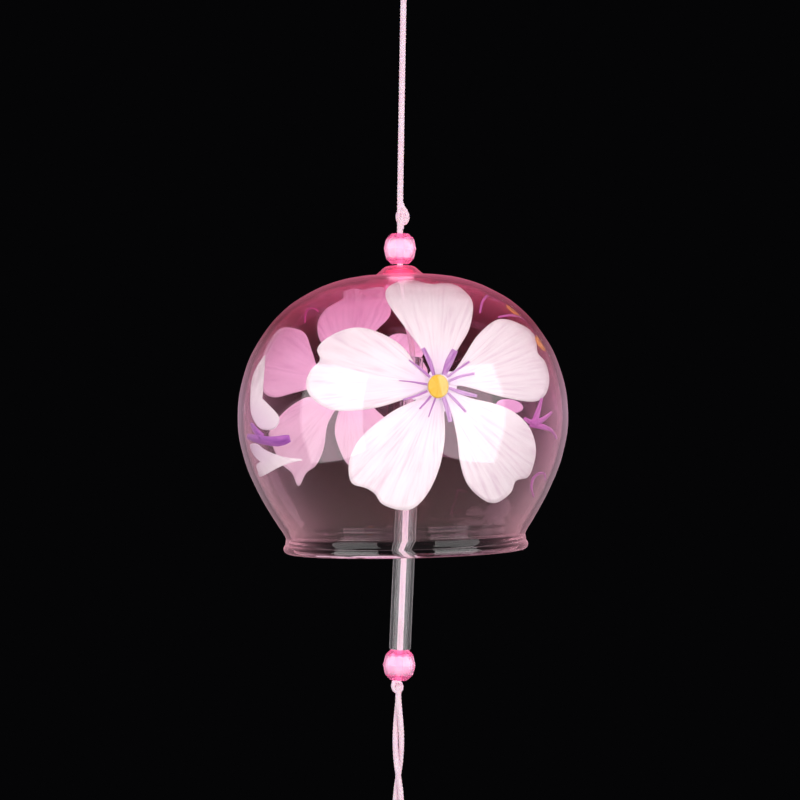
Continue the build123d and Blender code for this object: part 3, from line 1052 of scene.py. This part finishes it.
on_bell("buds", [
    paint_patch("bud_1", ellipse((514.3, 309.2), 7.5, 19, -54), (515, 308.5), stamen_depth,
                paint_thickness / 2, bud_orange, False, 4),
    paint_patch("bud_2", ellipse((541.6, 342.6), 8.5, 19, -33), (542.5, 342), stamen_depth,
                paint_thickness / 2, bud_orange, False, 4),
    paint_patch("bud_petal", ellipse((511, 406), 28, 14, 8), (511, 406), petal_depth, paint_thickness,
                petal_white, True, 5),
])

# %% [markdown]
# The beads are clear pink acrylic round a pale, milky core. The pink is deeper at the
# two ends, where more of it lies behind a facet. True absorption through the volume
# would show that too, but a ramp over the facet's own direction is steadier.

# %% Bead finishes
acrylic_index = 1.49


def pink_acrylic(tree):
    # Clouds 2.5 mm across, a third of a bead, and a deeper pink where a facet faces up or down.
    clouds = noise(tree, own_place(tree), 400.0, 2.0)
    normal = add_node(tree, "ShaderNodeTexCoord").outputs["Normal"]
    upward = add_node(tree, "ShaderNodeSeparateXYZ", {0: normal}).outputs["Z"]
    mottled = maths(tree, "MULTIPLY_ADD", clouds, 0.15, maths(tree, "ABSOLUTE", upward))
    colour = colour_ramp(tree, mottled, [(0.25, "#ffc4e2"), (0.55, "#ffb0d4"), (0.72, "#ff74ac")])
    return principled(tree, colour, 0.04, {"IOR": acrylic_index, "Transmission Weight": 0.68})


def milky_acrylic(tree):
    # Milky clouds 1.4 mm across.
    clouds = noise(tree, own_place(tree), 700.0, 2.0)
    colour = colour_ramp(tree, clouds, [(0.3, "#fbe8f8"), (0.7, "#fff6fd")])
    return principled(tree, colour, 0.35, {
        "IOR": acrylic_index, "Subsurface Weight": 0.2, "Subsurface Scale": 1.0 * mm})


acrylic = make_material("clear pink acrylic", pink_acrylic)
core_acrylic = make_material("pale opaque acrylic", milky_acrylic)

# %% [markdown]
# Each bead is cut on a wheel into four rows of twelve facets. A sphere with few sides
# would have its facets in the wrong places. A facet is a plane, so the bead is worked
# out as the space that all its planes leave: every corner is where three planes meet
# with none cutting it off.

# %% Cut the beads
bead_facets = 12
bead_half = 3.7 * mm
bead_side = 3.93 * mm
side_lean = math.radians(12.8)
shoulder_lean = math.radians(43)
cap_radius = 2.1 * mm
bore_radius = 1.0 * mm
bevel = 0.07 * mm


def bead_planes():
    """The facets' planes: their outward directions, and their distances."""
    ways, reaches = [(0, 0, 1), (0, 0, -1)], [bead_half, bead_half]
    shoulder = cap_radius + bead_half * math.tan(shoulder_lean)
    for lean, reach, turn in ((side_lean, bead_side, 0.0), (shoulder_lean, shoulder, 0.5)):
        flat, rise = math.cos(lean), math.sin(lean)
        for facet in range(bead_facets):
            angle = 2 * math.pi * (facet + turn) / bead_facets
            for up in (1, -1):
                ways.append((math.cos(angle) * flat, math.sin(angle) * flat, up * rise))
                reaches.append(reach * flat)
    return np.array(ways), np.array(reaches)


def bead_corners():
    """Every corner at which three planes meet inside all the others."""
    ways, reaches = bead_planes()
    # Only facets that lean less than 78 degrees from one another share a corner.
    near = ways @ ways.T >= 0.2
    least_sharpness = 1e-4
    slack = 1e-9
    corners = []
    for i, j, k in combinations(range(len(ways)), 3):
        three = ways[[i, j, k]]
        if near[i, j] and near[j, k] and near[i, k] and abs(np.linalg.det(three)) >= least_sharpness:
            corner = np.linalg.solve(three, reaches[[i, j, k]])
            if np.all(ways @ corner <= reaches + slack):
                corners.append(corner)
    return corners


corners_of_bead = bead_corners()


def cut_bead(name, place):
    """A faceted bead with softened edges and a bore, placed by a matrix."""
    work = bmesh.new()
    for corner in corners_of_bead:
        work.verts.new(corner)
    bmesh.ops.remove_doubles(work, verts=work.verts, dist=0.01 * mm)
    bmesh.ops.convex_hull(work, input=work.verts)
    bmesh.ops.dissolve_limit(work, angle_limit=math.radians(2), verts=work.verts, edges=work.edges)
    bmesh.ops.bevel(work, geom=list(work.edges), offset=bevel, segments=2, profile=0.5, affect="EDGES")
    mesh = bpy.data.meshes.new(name)
    work.to_mesh(mesh)
    work.clear()
    bmesh.ops.create_cone(work, cap_ends=True, segments=32, radius1=bore_radius, radius2=bore_radius,
                          depth=4 * bead_half)
    drill_mesh = bpy.data.meshes.new("drill")
    work.to_mesh(drill_mesh)
    work.free()
    bead, drill = put_object(name, mesh), put_object("drill", drill_mesh)
    cut = bead.modifiers.new("Bore", "BOOLEAN")
    cut.object = drill
    cut.operation = "DIFFERENCE"
    apply_modifiers(bead)
    bead.data.name = name
    bead.data.materials.clear()
    bead.data.materials.append(acrylic)
    bead.data.transform(place)
    bpy.data.objects.remove(drill)
    return bead


beads = [
    ("top_bead", "top_bead", Matrix.Translation(hinge_at["top_bead_turn"])),
    ("stopper_bead", "stopper", Matrix.Translation(stopper_centre)),
    ("lower_bead", "lower_bead", Matrix.Translation(hinge_at["lower_bead_turn"]) @ clapper_lean),
]
for node, body, place in beads:
    bead = cut_bead(f"cut_{node}", place)
    bead.visible_shadow = False
    belongs(bead, body, "bead_clear", node)
    core = frame["nodes"][f"{node}_core"]
    core.data.materials.clear()
    core.data.materials.append(core_acrylic)

# %% [markdown]
# The clapper is a length of drawn glass tube. Its ends are held in a flame until the
# cut edge melts round, so the outline has small arcs at its four corners. Drawing
# leaves fine lines along the tube, which show as grey streaks. Where the walls are seen
# edge on, a pale colour is mixed in as a painted highlight.

# %% Clapper tube
tube_radius = 2.6 * mm
tube_bore = 1.2 * mm
tube_length = 71.5 * mm
edge_round = 0.4 * mm
bend_below_knot = at_rest(2.75, 0, -8)
bend_to_tube = 3.5 * mm


def drawn_glass(tree):
    # Draw lines 0.5 mm apart round the tube and over 100 mm long.
    drawn = value_of(tree, "ShaderNodeMapping", {"Vector": own_place(tree), "Scale": (1900.0, 1900.0, 9.0)})
    lines = noise(tree, drawn, 1.0, 2.0)
    tone = colour_ramp(tree, lines, [(0.3, "#e9e7ea"), (0.6, "#fbfafb")])
    glass = principled(tree, tone, 0.03, {
        "IOR": glass_index, "Transmission Weight": 0.96, "Normal": bumpy(tree, lines, 0.06, 0.05 * mm)})
    # A pale colour mixed in where the walls are seen edge on is a painted highlight.
    bright = maths(tree, "MULTIPLY", edge_on(tree, 6.0), 0.8)
    return mix_shader(tree, bright, glass, principled(tree, linear("#f2e8ee"), 0.3))


def tube_outline():
    """The closed section of the tube's wall, with its four corners melted round."""
    outer, inner = tube_radius - edge_round, tube_bore + edge_round
    top, bottom = -edge_round, edge_round - tube_length
    corners = ((outer, top, 0), (inner, top, 90), (inner, bottom, 180), (outer, bottom, 270))
    return [point for r, z, start in corners
            for point in arc_points((r, z), edge_round, start, start + 90, 6)]


tube_glass = make_material("drawn clear glass", drawn_glass)
tube = spin("drawn_tube", tube_outline(), tube_glass, 72)
tube_top = stopper_knot_centre + bend_below_knot + clapper_lean.to_3x3() @ Vector((0, 0, -bend_to_tube))
tube.data.transform(Matrix.Translation(tube_top) @ clapper_lean)
tube.visible_shadow = False
belongs(tube, "tube", "tube_glass", "clapper_tube")

# %% [markdown]
# The wind strip is a card of pressed fibre paper, blank, a little bowed across from
# how it was kept. Its faces show short fibres, and its edges are cut clean.

# %% Paper strip
strip_width = 38 * mm
strip_length = 92 * mm
strip_thickness = 0.4 * mm
strip_bow = 1.5 * mm
hole_radius = 2.2 * mm
hole_below_top = 6.2 * mm
hinge_below_top = 4.75 * mm


def fibre_paper(tree):
    place = own_place(tree)
    # Pulp clouds 4 mm across, and fibres about 4 mm long and 1 mm apart.
    pulp = noise(tree, place, 240.0, 6.0, Roughness=0.65)
    turned = value_of(tree, "ShaderNodeMapping", {
        "Vector": place, "Scale": (260.0, 260.0, 900.0), "Rotation": (0, math.radians(35), 0)})
    fibres = noise(tree, turned, 1.0, 5.0)
    mixed = value_of(tree, "ShaderNodeMix", {0: 0.5, 2: pulp, 3: fibres})
    colour = colour_ramp(tree, mixed, [(0.35, "#ecd6da"), (0.50, "#f8e9ea"), (0.65, "#fdf5f4")])
    return principled(tree, colour, 0.85, {"Normal": bumpy(tree, mixed, 0.35, 0.05 * mm)})


def strip_sheet():
    """A bowed sheet: rings of quads round the hole in a square, and rows and columns beyond it."""
    rows, round_steps, side_columns = 56, 48, 8
    half = strip_width / 2
    square = 5.2 * mm
    ring_widths = (0, 0.15 * mm, 0.8 * mm)
    near = 1e-9
    vertices, faces = [], []

    def add_vertex(x, z):
        vertices.append((x, strip_bow * (x / half) ** 2, z))
        return len(vertices) - 1

    angles = np.linspace(0, 2 * math.pi, round_steps, endpoint=False)
    to_square = [square / max(abs(math.cos(a)), abs(math.sin(a))) for a in angles]
    ring_reaches = [[hole_radius + width] * round_steps for width in ring_widths]
    rings = [[add_vertex(reach * math.cos(a), reach * math.sin(a) - hole_below_top)
              for a, reach in zip(angles, reaches)] for reaches in (*ring_reaches, to_square)]
    for inner, outer in zip(rings, rings[1:]):
        for i in range(round_steps):
            j = (i + 1) % round_steps
            faces.append((inner[i], outer[i], outer[j], inner[j]))
    edge_x = sorted({round(vertices[v][0], 9) for v in rings[-1]})
    edge_z = sorted({round(vertices[v][2], 9) for v in rings[-1]})
    beside = np.linspace(square, half, side_columns + 1)[1:]
    all_x = sorted({*-beside, *edge_x, *beside})
    all_z = sorted({*np.linspace(-strip_length, edge_z[0], rows, endpoint=False), *edge_z,
                    *np.linspace(edge_z[-1], 0, 3)})
    known = {(round(x, 7), round(z, 7)): i for i, (x, y, z) in enumerate(vertices)}

    def corner(x, z):
        key = (round(x, 7), round(z, 7))
        if key not in known:
            known[key] = add_vertex(x, z)
        return known[key]

    for x0, x1 in zip(all_x, all_x[1:]):
        for z0, z1 in zip(all_z, all_z[1:]):
            in_columns = x0 > -square - near and x1 < square + near
            in_rows = z0 > edge_z[0] - near and z1 < edge_z[-1] + near
            if not (in_columns and in_rows):
                faces.append((corner(x0, z0), corner(x1, z0), corner(x1, z1), corner(x0, z1)))
    return vertices, faces


paper = make_material("pressed fibre paper", fibre_paper)
sheet_vertices, sheet_faces = strip_sheet()
strip = new_piece("paper_card", sheet_vertices, sheet_faces, paper)
thicken = strip.modifiers.new("Thickness", "SOLIDIFY")
thicken.thickness = strip_thickness
thicken.offset = 0
apply_modifiers(strip)
strip_top = hinge_at["strip_rock"] + Vector((0, 0, hinge_below_top))
strip.data.transform(Matrix.Translation(strip_top))
face_outwards(strip)
belongs(strip, "strip", "paper", "paper_strip")

# %% [markdown]
# The knots on the cords are separate pieces.

# %% [markdown]
# A plain pale floor lies well below, out of the picture. A pale floor close by would
# shine in the glass and hide it, so mirror rays see this one as dim as the room.

# %% Floor
room_grey = linear("#544a4e")
floor_height = -0.90
floor_radius = 1.3


def matt_floor(tree):
    """Matt grey, and as dim as the room to mirror rays."""
    # Blotches 17 mm across.
    grain = noise(tree, own_place(tree), 60.0, 3.0)
    matt = principled(tree, colour_ramp(tree, grain, [(0.3, "#c6c6c9"), (0.7, "#cdcdd0")]), 0.7)
    dim = value_of(tree, "ShaderNodeEmission", {"Color": room_grey, "Strength": 1.0})
    return mix_shader(tree, add_node(tree, "ShaderNodeLightPath").outputs["Is Glossy Ray"], matt, dim)


rim = [(floor_radius * math.cos(a), floor_radius * math.sin(a), floor_height)
       for a in np.linspace(0, 2 * math.pi, 96, endpoint=False)]
floor_finish = make_material("matt studio floor", matt_floor)
floor = new_piece("studio_floor", rim, [tuple(range(len(rim)))], floor_finish)

# %% [markdown]
# Clear glass can only be read against the dark, so the bell hangs in a dark studio. The
# world lights it softly but looks dark to the camera. Mirror rays see a dim grey room,
# which gives the glass its faint haze and bright rims.

# %% World
world = bpy.data.worlds.new("dark studio")
world.use_nodes = True
tree = world.node_tree
tree.nodes.clear()
ray = add_node(tree, "ShaderNodeLightPath").outputs
looked_at = maths(tree, "MAXIMUM", ray["Is Camera Ray"], ray["Is Transmission Ray"])
unscattered = maths(tree, "LESS_THAN", ray["Diffuse Depth"], 0.5)
seen = maths(tree, "MULTIPLY", looked_at, unscattered)
soft_light, dark, room = [
    value_of(tree, "ShaderNodeBackground", {"Color": colour, "Strength": strength})
    for colour, strength in ((linear("#ffffff"), 0.30), (linear("#050506"), 1.0), (room_grey, 1.0))]
lit_or_mirrored = mix_shader(tree, ray["Is Glossy Ray"], soft_light, room)
add_node(tree, "ShaderNodeOutputWorld", {"Surface": mix_shader(tree, seen, lit_or_mirrored, dark)})
bpy.context.scene.world = world
print("dark studio world has", len(tree.nodes), "nodes")

# %% [markdown]
# Large soft boxes at both sides draw pale shapes on the glass. Smaller panels, one near
# the camera and two behind, light the paint and never show in it. All are glowing
# meshes, because a mesh can go dark to the rays that come straight through the glass,
# and a lamp can't. One small lamp overhead lights the crown.

# %% Soft boxes
bell_centre = Vector((0, 0, -0.125))


def seat_of_lamp(azimuth, elevation, distance):
    """Where a lamp stands round the bell, and the turn that points its -Z at the bell."""
    a, e = math.radians(azimuth), math.radians(elevation)
    away = Vector((math.sin(a) * math.cos(e), -math.cos(a) * math.cos(e), math.sin(e)))
    return bell_centre + away * distance, (-away).to_track_quat("-Z", "Y")


def glowing_cloth(tree, brightness, mirrored):
    """Gives its light, but is dark to rays that come straight through the glass."""
    ray = add_node(tree, "ShaderNodeLightPath").outputs
    direct = maths(tree, "LESS_THAN", ray["Glossy Depth"], 0.5 if mirrored else 100.0)
    hidden = maths(tree, "MULTIPLY", ray["Is Transmission Ray"], direct)
    strength = maths(tree, "MULTIPLY_ADD", hidden, -brightness, brightness)
    return value_of(tree, "ShaderNodeEmission", {"Strength": strength})


def soft_box(name, azimuth, elevation, distance, width, height, brightness, mirrored=True):
    """A glowing panel that faces the bell and never shows straight through the glass."""
    material = make_material(f"{name} cloth", glowing_cloth, brightness, mirrored)
    material.cycles.emission_sampling = "FRONT_BACK"
    place, turned = seat_of_lamp(azimuth, elevation, distance)
    corners = [place + turned @ Vector((x * width / 2, y * height / 2, 0))
               for x, y in ((-1, -1), (-1, 1), (1, 1), (1, -1))]
    panel = new_piece(name, corners, [(0, 1, 2, 3)], material)
    panel.visible_camera = False
    panel.visible_glossy = mirrored


# Azimuth and elevation in degrees, distance, width and height in metres, and brightness.
soft_box("left_soft_box", -50, 2, 0.70, 0.60, 0.85, 2.0)
soft_box("right_soft_box", 50, 2, 0.70, 0.60, 0.85, 2.0)
soft_box("front_fill", 24, 2, 0.90, 0.30, 0.30, 12.0, mirrored=False)
soft_box("back_left_panel", -135, 25, 0.90, 0.40, 0.40, 12.5, mirrored=False)
soft_box("back_right_panel", 135, 25, 0.90, 0.40, 0.40, 11.0, mirrored=False)

top_light = bpy.data.lights.new("top_lamp", "AREA")
top_light.size = 0.4
top_light.energy = 2.5
top_lamp = put_object("top_lamp", top_light)
top_place, top_turn = seat_of_lamp(azimuth=0, elevation=80, distance=0.9)
top_lamp.location = top_place
top_lamp.rotation_euler = top_turn.to_euler()
top_lamp.visible_glossy = False
top_lamp.visible_transmission = False
